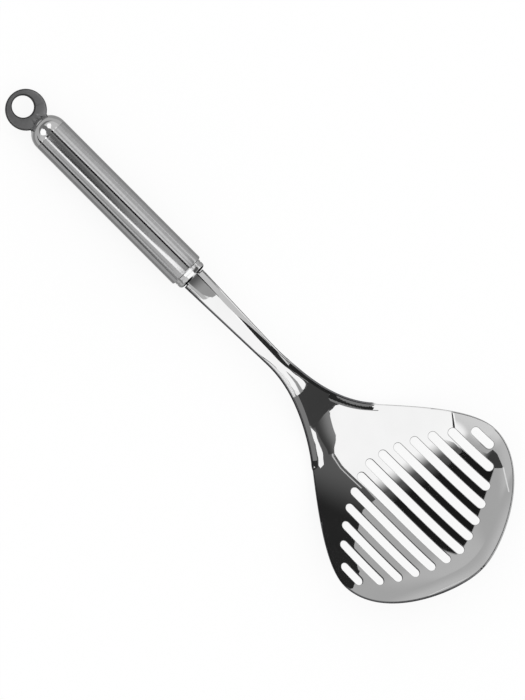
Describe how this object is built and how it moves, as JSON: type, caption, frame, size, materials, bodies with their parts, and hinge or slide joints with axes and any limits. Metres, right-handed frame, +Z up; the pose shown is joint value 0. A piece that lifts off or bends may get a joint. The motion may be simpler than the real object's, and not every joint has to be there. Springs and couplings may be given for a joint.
{
  "type": "skimmer",
  "caption": "Kitchen skimmer: a shallow dished blade with parallel drain slots on a trough-shaped neck, a round tubular handle with a domed end, and a flat ring to hang it by.",
  "frame": {"origin": "under the middle of the part's box, on the surface that it lies on", "axes": "+X along the handle towards the tip of the blade, +Z up out of the dished side"},
  "size_m": [0.3194, 0.1066, 0.0216],
  "materials": {
    "polished_sheet": "mirror polished steel sheet",
    "polished_fitting": "mirror polished steel",
    "brushed_tube": "fine brushing round the tube",
    "satin_ring": "satin",
    "plain_steel": "as turned"
  },
  "bodies": {
    "root": {"slotted_head": "polished_sheet", "front_ferrule": "polished_fitting", "tang_plug": "plain_steel", "handle_tube": "brushed_tube", "rear_cap": "polished_fitting", "hanging_ring": "satin_ring", "ring_pin": "plain_steel"}
  },
  "joints": []
}
